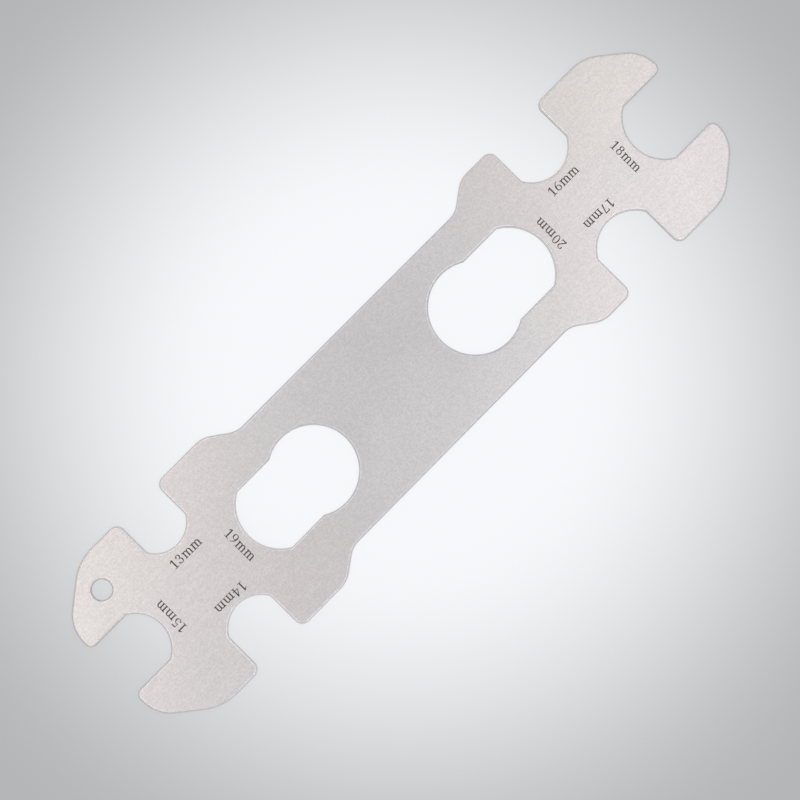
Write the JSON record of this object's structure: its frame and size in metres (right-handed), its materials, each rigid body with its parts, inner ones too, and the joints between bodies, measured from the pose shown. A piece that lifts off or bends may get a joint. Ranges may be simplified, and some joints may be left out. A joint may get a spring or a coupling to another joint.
{
  "type": "cone wrench",
  "caption": "Flat stainless steel cone wrench with open jaws in its ends and sides, keyhole slots along its middle, and a hang hole.",
  "frame": {"origin": "middle of the plate's length and width, on its back face", "axes": "+X along the plate, towards the end with the 18 mm jaw; +Y across it, towards the 13 mm and 16 mm jaws; +Z out of the marked face"},
  "size_m": [0.204, 0.051, 0.002],
  "materials": {
    "stainless_steel": "fine satin, brushed along the plate's length, with lightly broken edges"
  },
  "bodies": {
    "root": {"wrench_plate": "stainless_steel"}
  },
  "joints": []
}
